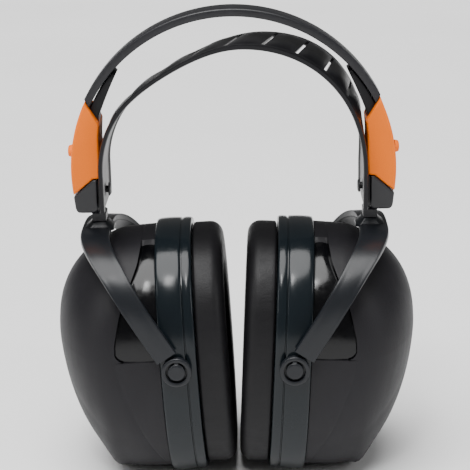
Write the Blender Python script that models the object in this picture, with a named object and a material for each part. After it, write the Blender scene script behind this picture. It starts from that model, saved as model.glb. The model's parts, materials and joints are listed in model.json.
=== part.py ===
"""Earmuff hearing protector with a slim outer headband and a slotted comfort strap.

Frame: metres, +Z up, front towards -Y. X = 0 is the plane midway between the ear cups and
Z = 0 is the surface that the cup rims stand on. Each side is built for the wearer's side
+X (right) and mirrored to -X (left) by a sign.
"""

import math

import bmesh
import bpy
from mathutils import Vector

MM = 0.001
GAP = 0.3 * MM  # clearance between touching pieces
WELD = 0.001 * MM  # points closer than this are one point

# Headband: a rectangular spring band bent to a circular arch
BAND_RADIUS = 71.5 * MM  # outer surface
BAND_THICKNESS = 3.4 * MM
BAND_WIDTH = 15.0 * MM
BAND_CHAMFER = 0.9 * MM
BAND_CENTRE_Z = 134.8 * MM
BAND_STEPS = 60
TONGUE_THICKNESS = 1.2 * MM
TONGUE_WIDTH = 10.0 * MM
TONGUE_END_ANGLE = math.radians(16.0)
TONGUE_STEPS = 8

# Comfort strap: a thin slotted arch below the band, hung from both housings
STRAP_RADIUS = 57.2 * MM  # outer surface
STRAP_THICKNESS = 2.2 * MM
STRAP_WIDTH = 38.0 * MM
STRAP_CENTRE_Z = 135.5 * MM
STRAP_RIM = 5.0 * MM  # solid edge beside each slot
STRAP_BULGE = 0.8 * MM  # how far each panel stands proud between two slots
STRAP_LEAN = 9.0 * MM  # the loose crown rests this far to +X
STRAP_TWIST = 4.3 * MM  # and its front and rear edges part from that by this much
STRAP_SAG = 4.5 * MM  # how far the shoulder behind the lean sinks
SLOT_COUNT = 10
SLOT_SPACING = math.radians(15.0)
SLOT_WIDTH = 2.0 * MM
TAIL_LENGTH = 14.0 * MM  # straight part below the arch
TAIL_STEPS = 5

# Orange slider cover and black end housing, stacked around the stem
COVER_RADIUS = 70.9 * MM
COVER_TUCK = 1.5 * MM  # how much nearer its lower end lies
COVER_DEPTH = 21.0 * MM
COVER_STEPS = 12
COVER_INNER_STEPS = 6
COVER_TOP_ANGLE = math.radians(27.6)  # at the outer edge
COVER_TOP_SLANT = math.radians(529.0)  # end angle gained per metre of radius
COVER_INNER_RADIUS = 61.6 * MM
CORE_DEPTH = 16.0 * MM
CORE_INNER_X = 57.5 * MM
CORE_TOP_Z = 158.5 * MM
PARTING_INNER_Z = 134.3 * MM
PARTING_OUTER_Z = 127.2 * MM
PARTING_INNER_X = 60.6 * MM
HOUSING_OUTER_X = 69.0 * MM
HOUSING_FOOT_X = 68.4 * MM
HOUSING_BOTTOM_Z = 119.4 * MM
HOUSING_CORNER = 2.0 * MM
BUMP_HEIGHT = 0.8 * MM
BUMP_LENGTH = 5.0 * MM
BUMP_WIDTH = 7.0 * MM
BUMP_SINK = 2.0 * MM  # its foot, inside the cover
BUMP_POINTS = 16
BUMP_Z = 144.8 * MM

# Stem guide: the bar that lies against the inside of the band above each cover
GUIDE_END_ANGLE = math.radians(42.5)
GUIDE_INNER_RADIUS = 63.0 * MM
GUIDE_TIP_RADIUS = 66.0 * MM
GUIDE_WIDTH = 13.0 * MM
GUIDE_STEPS = 10

# Slide stem: a flat blade in the sleeve, with a thicker stalk below it
BLADE_THICKNESS = 3.0 * MM
BLADE_WIDTH = 12.0 * MM
BLADE_X = 60.6 * MM  # middle of its thickness
BLADE_TOP_Z = 157.0 * MM
NOTCH_DEPTH = 0.5 * MM
NOTCH_PITCH = 4.0 * MM
NOTCH_COUNT = 6
STALK_THICKNESS = 6.0 * MM
STALK_WIDTH = 9.0 * MM
STALK_X = 59.0 * MM
TENON_SIZE = 3.6 * MM
TENON_LENGTH = 3.0 * MM
SPRING_THICKNESS = 0.5 * MM
SPRING_LENGTH = 10.0 * MM
SPRING_WIDTH = 5.0 * MM
SPRING_BOW = 0.8 * MM
SPRING_Z = 126.0 * MM
SPRING_STEPS = 8

# Strap stud: holds each strap tail to its housing
STUD_HEAD_RADIUS = 3.0 * MM
STUD_HEAD_THICKNESS = 1.0 * MM
STUD_SHANK_RADIUS = 1.5 * MM
STUD_DEPTH = 1.0 * MM  # how far it goes into the housing
STUD_Z = 127.5 * MM
STUD_POINTS = 16

# Ear cup, measured outwards from the plane of the cushion's face
CUP_TILT = math.radians(2.9)
PIVOT_DEPTH = 22.0 * MM  # of the pivot axis behind the cushion's face
PIVOT_Z = 59.7 * MM
PIVOT_RISE = 3.9 * MM  # of the pivot axis above the middle of the cup
OVAL_POWER = 2.3
OVAL_POINTS = 48
DEPTH_RATIO = 0.78  # front-to-back size over height, for every oval of the cup

CUSHION_HEIGHT = 108.6 * MM
CUSHION_HOLE_HEIGHT = 66.0 * MM
CUSHION_HOLE_RATIO = 0.70
CUSHION_THICKNESS = 13.2 * MM
CUSHION_ROUNDING = 5.0 * MM
PLATE_THICKNESS = 2.3 * MM
PLATE_EDGE = 2.3 * MM  # cushion skin beside the plate
PLATE_MARGIN = 2.0 * MM  # its hole over the cushion's

RIM_HEIGHT = 113.4 * MM
RIM_LIP_HEIGHT = 112.2 * MM
RIM_START = 13.5 * MM
RIM_STEP = 18.1 * MM
RIM_END = 29.0 * MM
RIM_WALL = 7.5 * MM

SHELL_HEIGHT = 109.0 * MM
SHELL_SPRING = 39.0 * MM  # depth where the dome starts to close
SHELL_DEPTH = 75.3 * MM
SHELL_RISE = 11.0 * MM  # of the dome's nose above the middle of the cup
SHELL_RISE_POWER = 3.0
SHELL_CHIN = 0.075  # share by which the dome's lower corner stands fuller than an ellipse
SHELL_CHIN_AT = 0.41  # where that is fullest, and how far it reaches, as shares of the dome
SHELL_CHIN_REACH = 0.12
SHELL_WALL = 3.0 * MM
SHELL_STEPS = 10
FOAM_START = 35.0 * MM
FOAM_THICKNESS = 8.0 * MM

# Pivot pins
PIN_RADIUS = 1.8 * MM
PIN_HEAD_RADIUS = 3.7 * MM
PIN_HEAD_THICKNESS = 1.0 * MM
PIN_REACH = 5.0 * MM  # into the rim
KEY_LENGTH = 0.6 * MM
KEY_WIDTH = 1.6 * MM
PIN_POINTS = 24
PIN_HOLE_POINTS = 20

# Yoke: an arch strip over the cup, with an eye at each pivot pin
YOKE_POWER = 3.4
YOKE_HALF_DEPTH = 46.9 * MM
YOKE_CROWN_Z = 109.8 * MM
YOKE_SLOPE = 0.6445  # outward run per rise along the arms
YOKE_CROWN_SHIFT = 3.3 * MM
YOKE_THICKNESS = 3.0 * MM
YOKE_CROWN_WIDTH = 12.7 * MM
YOKE_ARM_WIDTH = 9.6 * MM
YOKE_STEPS = 36
EYE_RADIUS = 6.4 * MM
EYE_THICKNESS = 3.2 * MM
EYE_POINTS = 28
BORE_RADIUS = PIN_RADIUS + GAP
COUNTERBORE_RADIUS = PIN_HEAD_RADIUS + KEY_LENGTH + GAP
COUNTERBORE_DEPTH = 1.2 * MM
BOSS_HEIGHT = 2.6 * MM
BOSS_LENGTH = 7.5 * MM
BOSS_WIDTH = 11.0 * MM

FLEX_PIVOT = Vector((45.0 * MM, 0.0, 180.0 * MM))

SMOOTH_ANGLE = math.radians(35.0)  # edges sharper than this show as edges
CUP_SMOOTH_ANGLE = math.radians(50.0)

MATERIALS = {
    "band_black": ((0.028, 0.029, 0.032), 0.42, 0.0),
    "strap_black": ((0.024, 0.025, 0.028), 0.30, 0.0),
    "cover_orange": ((1.0, 0.27, 0.02), 0.38, 0.0),
    "housing_black": ((0.020, 0.022, 0.026), 0.45, 0.0),
    "yoke_grey": ((0.045, 0.052, 0.058), 0.22, 0.0),
    "shell_charcoal": ((0.034, 0.033, 0.036), 0.55, 0.0),
    "rim_slate": ((0.040, 0.052, 0.058), 0.28, 0.0),
    "cushion_black": ((0.018, 0.018, 0.020), 0.50, 0.0),
    "plate_black": ((0.020, 0.020, 0.022), 0.50, 0.0),
    "foam_grey": ((0.060, 0.060, 0.064), 0.90, 0.0),
    "spring_steel": ((0.55, 0.56, 0.58), 0.30, 1.0),
}
SIDES = {"left": -1, "right": 1}


# ---------------------------------------------------------------- helpers


def clear_scene():
    for item in list(bpy.data.objects):
        bpy.data.objects.remove(item, do_unlink=True)


def make_materials():
    """One Principled material for each kind of surface."""
    made = {}
    for name, (colour, roughness, metallic) in MATERIALS.items():
        material = bpy.data.materials.new(name)
        material.use_nodes = True
        shader = material.node_tree.nodes["Principled BSDF"]
        shader.inputs["Base Color"].default_value = (*colour, 1.0)
        shader.inputs["Roughness"].default_value = roughness
        shader.inputs["Metallic"].default_value = metallic
        made[name] = material
    return made


def add_object(name, mesh, material, parent=None, smooth_angle=SMOOTH_ANGLE):
    mesh.shade_smooth()
    mesh.set_sharp_from_angle(angle=smooth_angle)
    mesh.materials.append(material)
    item = bpy.data.objects.new(name, mesh)
    item.parent = parent
    bpy.context.scene.collection.objects.link(item)
    return item


def loft_mesh(name, rings, closed=False):
    """Skin through rings of equal point count; the first and last are joined or capped."""
    bm = bmesh.new()
    loops = [[bm.verts.new(point) for point in ring] for ring in rings]
    count = len(rings[0])
    pairs = list(zip(loops, loops[1:]))
    if closed:
        pairs.append((loops[-1], loops[0]))
    else:
        bm.faces.new(loops[0])
        bm.faces.new(loops[-1])
    for lower, upper in pairs:
        for i in range(count):
            j = (i + 1) % count
            bm.faces.new((lower[i], lower[j], upper[j], upper[i]))
    bmesh.ops.remove_doubles(bm, verts=bm.verts, dist=WELD)
    bmesh.ops.recalc_face_normals(bm, faces=bm.faces)
    mesh = bpy.data.meshes.new(name)
    bm.to_mesh(mesh)
    bm.free()
    return mesh


def cylinder_rings(centre, axis, radius_at, points):
    """Rings round an axis; radius_at lists (distance along the axis, radius)."""
    axis = Vector(axis).normalized()
    across = axis.orthogonal().normalized()
    third = axis.cross(across)
    rings = []
    for along, radius in radius_at:
        turns = (2 * math.pi * i / points for i in range(points))
        rings.append(
            [
                centre + axis * along + (across * math.cos(t) + third * math.sin(t)) * radius
                for t in turns
            ]
        )
    return rings


def box_rings(low, high):
    """Two rectangular rings, at the bottom and the top of a box."""
    corners = ((low[0], low[1]), (high[0], low[1]), (high[0], high[1]), (low[0], high[1]))
    return [[Vector((x, y, z)) for x, y in corners] for z in (low[2], high[2])]


def combine(target, name, rings, operation, closed=False):
    """Join a second shape to the target, or cut it out, with a Boolean modifier."""
    tool = bpy.data.objects.new(name, loft_mesh(name, rings, closed))
    tool.parent = target.parent
    tool.hide_render = True
    tool.display_type = "WIRE"
    bpy.context.scene.collection.objects.link(tool)
    modifier = target.modifiers.new(name, "BOOLEAN")
    modifier.operation = operation
    modifier.object = tool
    modifier.solver = "EXACT"


def polar(radius, angle, side, y=0.0, centre_z=BAND_CENTRE_Z):
    """A point at a radius and an angle above the horizontal, in the plane of the arches."""
    return Vector((side * radius * math.cos(angle), y, centre_z + radius * math.sin(angle)))


def moved(rings, origin):
    return [[point - origin for point in ring] for ring in rings]


# ---------------------------------------------------------------- bands


def end_angle(radius):
    """Angle of the cover's slanted top edge at a radius."""
    return COVER_TOP_ANGLE - (COVER_RADIUS - radius) * COVER_TOP_SLANT


def band_section(angle_at, inner, outer, width, chamfer):
    """Six points round the band: square inside, chamfered outside."""
    half = width / 2
    outline = (
        (inner, -half),
        (outer - chamfer, -half),
        (outer, -half + chamfer),
        (outer, half - chamfer),
        (outer - chamfer, half),
        (inner, half),
    )
    return [polar(r, angle_at(r), 1, y) for r, y in outline]


def make_headband(material):
    inner = BAND_RADIUS - BAND_THICKNESS
    tongue = (inner, inner + TONGUE_THICKNESS)
    seam = GAP / BAND_RADIUS

    def shoulder(radius):
        return end_angle(radius) + seam

    def full(angle_at):
        return band_section(angle_at, inner, BAND_RADIUS, BAND_WIDTH, BAND_CHAMFER)

    def slim(angle_at):
        return band_section(angle_at, *tongue, TONGUE_WIDTH, BAND_CHAMFER / 2)

    def along_tongue(share):
        return lambda r: TONGUE_END_ANGLE + (shoulder(r) - TONGUE_END_ANGLE) * share

    start = shoulder(BAND_RADIUS) + seam
    right = [slim(along_tongue(i / TONGUE_STEPS)) for i in range(TONGUE_STEPS + 1)]
    right.append(full(shoulder))
    arch = [
        full(lambda r, a=start + (math.pi - 2 * start) * i / BAND_STEPS: a)
        for i in range(BAND_STEPS + 1)
    ]
    left = [[Vector((-p.x, p.y, p.z)) for p in ring] for ring in reversed(right)]
    return add_object("headband", loft_mesh("headband", right + arch + left), material)


def strap_point(angle, along_tail, y, proud):
    """A point on the strap's outer surface; below the arch the tail hangs straight down."""
    point = polar(STRAP_RADIUS + proud, angle, 1, y, STRAP_CENTRE_Z)
    point.z -= along_tail
    height = max(0.0, (point.z - STRAP_CENTRE_Z) / STRAP_RADIUS)
    twist = STRAP_TWIST * 2 * y / STRAP_WIDTH
    point.x += (STRAP_LEAN + twist) * height**1.5
    behind = max(0.0, -math.sin(2 * angle)) * math.sin(angle)
    point.z -= STRAP_SAG * behind**2
    return point


def strap_stations():
    """Angle, distance down the tail and bulge of each cross row, and the rows that open a slot."""
    half_slot = SLOT_WIDTH / 2 / STRAP_RADIUS
    tail = [(0.0, TAIL_LENGTH * (TAIL_STEPS - i) / TAIL_STEPS, 0.0) for i in range(TAIL_STEPS)]
    first = math.pi / 2 - SLOT_SPACING * (SLOT_COUNT - 1) / 2
    rows = tail + [(first * i / 3, 0.0, 0.0) for i in range(3)]
    slots = []
    for k in range(SLOT_COUNT):
        middle = first + k * SLOT_SPACING
        slots.append(len(rows))
        rows += [(middle - half_slot, 0.0, 0.0), (middle + half_slot, 0.0, 0.0)]
        if k < SLOT_COUNT - 1:
            run = SLOT_SPACING - 2 * half_slot
            rows += [
                (middle + half_slot + run * i / 4, 0.0, STRAP_BULGE * math.sin(math.pi * i / 4))
                for i in range(1, 4)
            ]
    rows += [(math.pi - a, t, p) for a, t, p in reversed(rows[: TAIL_STEPS + 3])]
    return rows, slots


def make_strap(material):
    """A slotted sheet, thickened towards the head."""
    rows, slots = strap_stations()
    half = STRAP_WIDTH / 2
    columns = (-half, -half + STRAP_RIM, -half / 3, half / 3, half - STRAP_RIM, half)
    bm = bmesh.new()
    grid = []
    for angle, along_tail, proud in rows:
        line = []
        for k, y in enumerate(columns):
            bulge = proud if 0 < k < len(columns) - 1 else 0.0
            line.append(bm.verts.new(strap_point(angle, along_tail, y, bulge)))
        grid.append(line)
    for i in range(len(rows) - 1):
        for k in range(len(columns) - 1):
            if i in slots and 0 < k < len(columns) - 2:
                continue
            bm.faces.new((grid[i][k], grid[i][k + 1], grid[i + 1][k + 1], grid[i + 1][k]))
    bmesh.ops.recalc_face_normals(bm, faces=bm.faces)
    bm.faces.ensure_lookup_table()
    middle = bm.faces[len(bm.faces) // 2]
    if middle.normal.z < 0:
        bmesh.ops.reverse_faces(bm, faces=bm.faces)
    mesh = bpy.data.meshes.new("comfort_strap")
    bm.to_mesh(mesh)
    bm.free()
    item = add_object("comfort_strap", mesh, material)
    thicken = item.modifiers.new("thickness", "SOLIDIFY")
    thicken.thickness = STRAP_THICKNESS
    thicken.offset = -1.0
    for name, side in SIDES.items():
        inner = strap_tail_x() - STRAP_THICKNESS
        centre = Vector((side * inner, 0.0, STUD_Z))
        hole = STUD_SHANK_RADIUS + GAP
        reach = ((-2 * STRAP_THICKNESS, hole), (2 * STRAP_THICKNESS, hole))
        rings = cylinder_rings(centre, (1, 0, 0), reach, STUD_POINTS)
        combine(item, f"stud_hole_{name}", rings, "DIFFERENCE")
    return item


def strap_tail_x():
    return STRAP_RADIUS


# ---------------------------------------------------------------- end fittings


def inner_side(path, core):
    """An outline's inner side; in the core the run between its ends is pushed inwards."""
    run = [(CORE_INNER_X, min(z, CORE_TOP_Z)) for _, z in path] if core else path
    return [path[0], *run, path[-1]]


def cover_outline(core):
    """Outline in X and Z, from the outer tip down the outer arc and up the inner side."""
    bottom_angle = math.asin((PARTING_OUTER_Z - BAND_CENTRE_Z) / COVER_RADIUS)
    top_angle = end_angle(COVER_RADIUS)
    steps = COVER_STEPS
    outer = [
        polar(
            COVER_RADIUS - COVER_TUCK * i / steps,
            top_angle + (bottom_angle - top_angle) * i / steps,
            1,
        )
        for i in range(steps + 1)
    ]
    low_angle = math.asin((PARTING_INNER_Z - BAND_CENTRE_Z) / COVER_INNER_RADIUS)
    high_angle = end_angle(COVER_INNER_RADIUS)
    inner = [
        polar(COVER_INNER_RADIUS, low_angle + (high_angle - low_angle) * i / COVER_INNER_STEPS, 1)
        for i in range(COVER_INNER_STEPS + 1)
    ]
    return [(p.x, p.z) for p in outer] + inner_side([(p.x, p.z) for p in inner], core)


def housing_outline(core):
    """Outline below the slanted parting line, with a rounded outer foot."""
    top = PARTING_INNER_Z - GAP
    cheek_x = PARTING_INNER_X - HOUSING_CORNER
    foot = [
        (
            HOUSING_FOOT_X - HOUSING_CORNER + HOUSING_CORNER * math.cos(turn),
            HOUSING_BOTTOM_Z + HOUSING_CORNER - HOUSING_CORNER * math.sin(turn),
        )
        for turn in (math.pi / 2 * i / 3 for i in range(4))
    ]
    inner = inner_side([(cheek_x, HOUSING_BOTTOM_Z), (cheek_x, top)], core)
    return [(PARTING_INNER_X, top), (HOUSING_OUTER_X, PARTING_OUTER_Z - 2 * GAP), *foot, *inner]


def stepped_prism(outline, core, side, origin):
    """Extrude along Y: full outline on both cheeks, the wider core between them."""
    cheek = COVER_DEPTH / 2
    inside = CORE_DEPTH / 2
    plan = (
        (-cheek, outline),
        (-inside, outline),
        (-inside, core),
        (inside, core),
        (inside, outline),
        (cheek, outline),
    )
    rings = [[Vector((side * x, y, z)) for x, z in shape] for y, shape in plan]
    return moved(rings, origin)


def blade_box(margin, bottom, top, side, origin):
    """Rings of the blade's own box, grown by a margin across it."""
    low = (BLADE_X - BLADE_THICKNESS / 2 - margin, -BLADE_WIDTH / 2 - margin, bottom)
    high = (BLADE_X + BLADE_THICKNESS / 2 + margin, BLADE_WIDTH / 2 + margin, top)
    rings = [[Vector((side * p.x, p.y, p.z)) for p in ring] for ring in box_rings(low, high)]
    return moved(rings, origin)


def make_cover(name, side, parent, material):
    origin = parent.location
    outline = cover_outline(core=False)
    core = cover_outline(core=True)
    label = f"slider_cover_{name}"
    rings = stepped_prism(outline, core, side, origin)
    item = add_object(label, loft_mesh(label, rings), material, parent)
    bump_centre = Vector((side * (COVER_RADIUS - BUMP_SINK), 0.0, BUMP_Z)) - origin
    rings = []
    for along, share in (
        (0.0, 1.0),
        (BUMP_SINK + BUMP_HEIGHT / 2, 1.0),
        (BUMP_SINK + BUMP_HEIGHT, 0.8),
    ):
        turns = [2 * math.pi * i / BUMP_POINTS for i in range(BUMP_POINTS)]
        rings.append(
            [
                bump_centre
                + Vector(
                    (
                        side * along,
                        BUMP_WIDTH / 2 * share * math.cos(t),
                        BUMP_LENGTH / 2 * share * math.sin(t),
                    )
                )
                for t in turns
            ]
        )
    combine(item, f"grip_bump_{name}", rings, "UNION")
    slot = blade_box(GAP, PARTING_OUTER_Z, CORE_TOP_Z + COVER_DEPTH, side, origin)
    combine(item, f"cover_slot_{name}", slot, "DIFFERENCE")
    near = BAND_RADIUS - BAND_THICKNESS - GAP
    far = BAND_RADIUS - BAND_THICKNESS + TONGUE_THICKNESS + GAP
    depth_angle = TONGUE_END_ANGLE - GAP / BAND_RADIUS
    open_angle = COVER_TOP_ANGLE + TONGUE_END_ANGLE
    wide = TONGUE_WIDTH / 2 + GAP
    socket = []
    for i in range(TONGUE_STEPS + 1):
        angle = depth_angle + (open_angle - depth_angle) * i / TONGUE_STEPS
        corners = ((near, -wide), (far, -wide), (far, wide), (near, wide))
        socket.append([polar(r, angle, side, y) for r, y in corners])
    combine(item, f"tongue_socket_{name}", moved(socket, origin), "DIFFERENCE")
    return item


def make_housing(name, side, parent, material):
    origin = parent.location
    outline = housing_outline(core=False)
    core = housing_outline(core=True)
    label = f"end_housing_{name}"
    rings = stepped_prism(outline, core, side, origin)
    item = add_object(label, loft_mesh(label, rings), material, parent)
    slot = blade_box(GAP, HOUSING_BOTTOM_Z - BLADE_WIDTH, PARTING_INNER_Z + BLADE_WIDTH, side, origin)
    combine(item, f"housing_slot_{name}", slot, "DIFFERENCE")
    face = BLADE_X + BLADE_THICKNESS / 2
    wide = SPRING_WIDTH / 2 + GAP
    tall = SPRING_LENGTH / 2 + GAP
    low = (face - GAP, -wide, SPRING_Z - tall)
    high = (face + SPRING_BOW + 2 * SPRING_THICKNESS + 2 * GAP, wide, SPRING_Z + tall)
    pocket = [[Vector((side * p.x, p.y, p.z)) for p in ring] for ring in box_rings(low, high)]
    combine(item, f"spring_pocket_{name}", moved(pocket, origin), "DIFFERENCE")
    hole = Vector((side * CORE_INNER_X, 0.0, STUD_Z)) - origin
    reach = ((-STUD_DEPTH, STUD_SHANK_RADIUS + GAP), (STUD_DEPTH + GAP, STUD_SHANK_RADIUS + GAP))
    combine(item, f"stud_socket_{name}", cylinder_rings(hole, (side, 0, 0), reach, STUD_POINTS), "DIFFERENCE")
    return item


def make_guide(name, side, parent, material):
    """A bar that thins towards its rounded upper end."""
    origin = parent.location
    outer = BAND_RADIUS - BAND_THICKNESS - GAP
    seam = GAP / COVER_RADIUS
    rings = []
    for i in range(GUIDE_STEPS + 1):
        share = i / GUIDE_STEPS
        inner = GUIDE_INNER_RADIUS + (GUIDE_TIP_RADIUS - GUIDE_INNER_RADIUS) * share**2
        half = GUIDE_WIDTH / 2 * math.sqrt(1.0 - 0.75 * max(0.0, share - 0.8) / 0.2)
        ring = []
        for radius, y in ((inner, -half), (outer, -half), (outer, half), (inner, half)):
            low = end_angle(radius) + seam
            ring.append(polar(radius, low + (GUIDE_END_ANGLE - low) * share, side, y))
        rings.append(ring)
    label = f"stem_guide_{name}"
    return add_object(label, loft_mesh(label, moved(rings, origin)), material, parent)


def make_spring(name, side, parent, material):
    """A bowed leaf that presses on the notched face of the blade."""
    origin = parent.location
    face = BLADE_X + BLADE_THICKNESS / 2 + GAP
    rings = []
    for i in range(SPRING_STEPS + 1):
        share = i / SPRING_STEPS
        x = face + SPRING_BOW * (1.0 - math.sin(math.pi * share))
        z = SPRING_Z - SPRING_LENGTH / 2 + SPRING_LENGTH * share
        half = SPRING_WIDTH / 2
        corners = ((x, -half), (x + SPRING_THICKNESS, -half), (x + SPRING_THICKNESS, half), (x, half))
        rings.append([Vector((side * a, b, z)) for a, b in corners])
    label = f"detent_spring_{name}"
    return add_object(label, loft_mesh(label, moved(rings, origin)), material, parent)


def make_stud(name, side, parent, material):
    origin = parent.location
    head = strap_tail_x() - STRAP_THICKNESS - GAP
    centre = Vector((side * head, 0.0, STUD_Z)) - origin
    tip = CORE_INNER_X + STUD_DEPTH - head
    profile = (
        (-STUD_HEAD_THICKNESS, STUD_HEAD_RADIUS * 0.7),
        (-STUD_HEAD_THICKNESS * 0.5, STUD_HEAD_RADIUS),
        (0.0, STUD_HEAD_RADIUS),
        (0.0, STUD_SHANK_RADIUS),
        (tip, STUD_SHANK_RADIUS),
    )
    label = f"strap_stud_{name}"
    rings = cylinder_rings(centre, (side, 0, 0), profile, STUD_POINTS)
    return add_object(label, loft_mesh(label, rings), material, parent)


# ---------------------------------------------------------------- stem and yoke


def crown_top_z():
    return YOKE_CROWN_Z + YOKE_THICKNESS / 2


def make_stem(name, side, parent, material):
    """Tenon, stalk and notched blade, stacked upwards."""
    origin = parent.location
    half_tenon = TENON_SIZE / 2
    half_stalk = STALK_THICKNESS / 2
    seat = crown_top_z() + BOSS_HEIGHT
    flare = HOUSING_BOTTOM_Z - GAP - BLADE_THICKNESS / 2
    inner = BLADE_X - BLADE_THICKNESS / 2
    outer = BLADE_X + BLADE_THICKNESS / 2
    levels = [
        (seat + GAP - TENON_LENGTH, STALK_X - half_tenon, STALK_X + half_tenon, TENON_SIZE),
        (seat + GAP, STALK_X - half_tenon, STALK_X + half_tenon, TENON_SIZE),
        (seat + GAP, STALK_X - half_stalk, STALK_X + half_stalk, STALK_WIDTH),
        (flare, STALK_X - half_stalk, STALK_X + half_stalk, STALK_WIDTH),
        (HOUSING_BOTTOM_Z - GAP, inner, outer, BLADE_WIDTH),
    ]
    first = SPRING_Z
    for k in range(NOTCH_COUNT):
        z = first + k * NOTCH_PITCH
        quarter = NOTCH_PITCH / 4
        levels += [
            (z - quarter, inner, outer, BLADE_WIDTH),
            (z, inner, outer - NOTCH_DEPTH, BLADE_WIDTH),
            (z + quarter, inner, outer, BLADE_WIDTH),
        ]
    levels.append((BLADE_TOP_Z - BLADE_THICKNESS, inner, outer, BLADE_WIDTH))
    levels.append((BLADE_TOP_Z, inner, outer, BLADE_WIDTH - BLADE_THICKNESS))
    rings = []
    for z, low, high, width in levels:
        corners = ((low, -width / 2), (high, -width / 2), (high, width / 2), (low, width / 2))
        rings.append([Vector((side * x, y, z)) for x, y in corners])
    label = f"slide_stem_{name}"
    return add_object(label, loft_mesh(label, moved(rings, origin)), material, parent)


def yoke_path(turn):
    """Middle of the strip; turn is 0 at the crown and a quarter turn at each pin."""
    power = 2.0 / YOKE_POWER
    rise = YOKE_CROWN_Z - PIVOT_Z
    y = YOKE_HALF_DEPTH * math.copysign(abs(math.sin(turn)) ** power, math.sin(turn))
    z = PIVOT_Z + rise * abs(math.cos(turn)) ** power
    x = pivot_x() + YOKE_SLOPE * (z - PIVOT_Z) + YOKE_CROWN_SHIFT * abs(math.cos(turn)) ** 6
    return Vector((x, y, z))


def yoke_normal(turn):
    """Outward direction across the strip's thickness."""
    power = 2.0 - 2.0 / YOKE_POWER
    rise = YOKE_CROWN_Z - PIVOT_Z
    y = math.copysign(abs(math.sin(turn)) ** power, math.sin(turn)) / YOKE_HALF_DEPTH
    z = abs(math.cos(turn)) ** power / rise
    return Vector((0.0, y, z)).normalized()


def yoke_rings(side):
    rings = []
    step = math.radians(0.5)
    limit = math.pi / 2
    for i in range(YOKE_STEPS + 1):
        turn = -limit + 2 * limit * i / YOKE_STEPS
        ahead = yoke_path(min(turn + step, limit))
        behind = yoke_path(max(turn - step, -limit))
        tangent = (ahead - behind).normalized()
        normal = yoke_normal(turn)
        across = tangent.cross(normal).normalized()
        crown_share = abs(math.cos(turn)) ** 4
        half = (YOKE_ARM_WIDTH + (YOKE_CROWN_WIDTH - YOKE_ARM_WIDTH) * crown_share) / 2
        thick = YOKE_THICKNESS / 2
        cut = thick * 0.4
        outline = (
            (-half, -thick + cut),
            (-half + cut, -thick),
            (half - cut, -thick),
            (half, -thick + cut),
            (half, thick - cut),
            (half - cut, thick),
            (-half + cut, thick),
            (-half, thick - cut),
        )
        centre = yoke_path(turn)
        ring = [centre + across * a + normal * b for a, b in outline]
        rings.append([Vector((side * p.x, p.y, p.z)) for p in ring])
    return rings


def make_yoke(name, side, parent, material):
    origin = parent.location
    label = f"yoke_{name}"
    item = add_object(label, loft_mesh(label, moved(yoke_rings(side), origin)), material, parent)
    top = crown_top_z() - YOKE_THICKNESS / 2
    x = STALK_X
    foot = [
        Vector((side * (x + a * BOSS_LENGTH / 2), b * BOSS_WIDTH / 2, top))
        for a, b in ((-1, -1), (1, -1), (1, 1), (-1, 1))
    ]
    head = [
        Vector((side * (x + a * (STALK_THICKNESS / 2)), b * STALK_WIDTH / 2, crown_top_z() + BOSS_HEIGHT))
        for a, b in ((-1, -1), (1, -1), (1, 1), (-1, 1))
    ]
    combine(item, f"boss_{name}", moved([foot, head], origin), "UNION")
    half = TENON_SIZE / 2 + GAP
    seat = crown_top_z() + BOSS_HEIGHT
    low = (x - half, -half, seat + GAP - TENON_LENGTH - GAP)
    high = (x + half, half, seat + TENON_LENGTH)
    socket = [[Vector((side * p.x, p.y, p.z)) for p in ring] for ring in box_rings(low, high)]
    combine(item, f"tenon_socket_{name}", moved(socket, origin), "DIFFERENCE")
    inside = YOKE_HALF_DEPTH - YOKE_THICKNESS / 2
    outside = inside + EYE_THICKNESS
    pivot = Vector((side * pivot_x(), 0.0, PIVOT_Z)) - origin
    for label, facing in (("front", -1), ("rear", 1)):
        axis = (0, facing, 0)
        eye = cylinder_rings(pivot, axis, ((inside, EYE_RADIUS), (outside, EYE_RADIUS)), EYE_POINTS)
        combine(item, f"eye_{label}_{name}", eye, "UNION")
        step = outside - COUNTERBORE_DEPTH
        profile = (
            (inside - EYE_RADIUS, BORE_RADIUS),
            (step, BORE_RADIUS),
            (step, COUNTERBORE_RADIUS),
            (outside + EYE_RADIUS, COUNTERBORE_RADIUS),
        )
        combine(item, f"bore_{label}_{name}", cylinder_rings(pivot, axis, profile, EYE_POINTS), "DIFFERENCE")
    return item


# ---------------------------------------------------------------- ear cup


def pivot_x():
    """Distance of the pivot axis from X = 0, with the two cushions just clear of each other."""
    reach = CUSHION_HEIGHT / 2 - CUSHION_ROUNDING + PIVOT_RISE
    return GAP / 2 + PIVOT_DEPTH * math.cos(CUP_TILT) + reach * math.sin(CUP_TILT)


def floor_level(outward):
    """Height of the ground in the tilted cup frame, at a distance out from the pivot."""
    return (outward * math.sin(CUP_TILT) - PIVOT_Z) / math.cos(CUP_TILT)


def oval(depth, height, width, side, rise=0.0, chin=0.0):
    """An oval ring of the cup, seen along its axis; depth is from the cushion's face."""
    outward = depth - PIVOT_DEPTH
    ring = []
    for i in range(OVAL_POINTS):
        turn = 2 * math.pi * i / OVAL_POINTS
        power = 2.0 / OVAL_POWER
        y = width / 2 * math.copysign(abs(math.sin(turn)) ** power, math.sin(turn))
        z = height / 2 * math.copysign(abs(math.cos(turn)) ** power, math.cos(turn))
        z += chin * min(0.0, z) / height * 2
        z = max(z + rise - PIVOT_RISE, floor_level(outward))
        ring.append(Vector((side * outward, y, z)))
    return ring


def plain_oval(depth, height, side, rise=0.0):
    return oval(depth, height, height * DEPTH_RATIO, side, rise)


def add_cup_part(label, rings, parent, material, closed=False):
    return add_object(label, loft_mesh(label, rings, closed), material, parent, CUP_SMOOTH_ANGLE)


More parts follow.
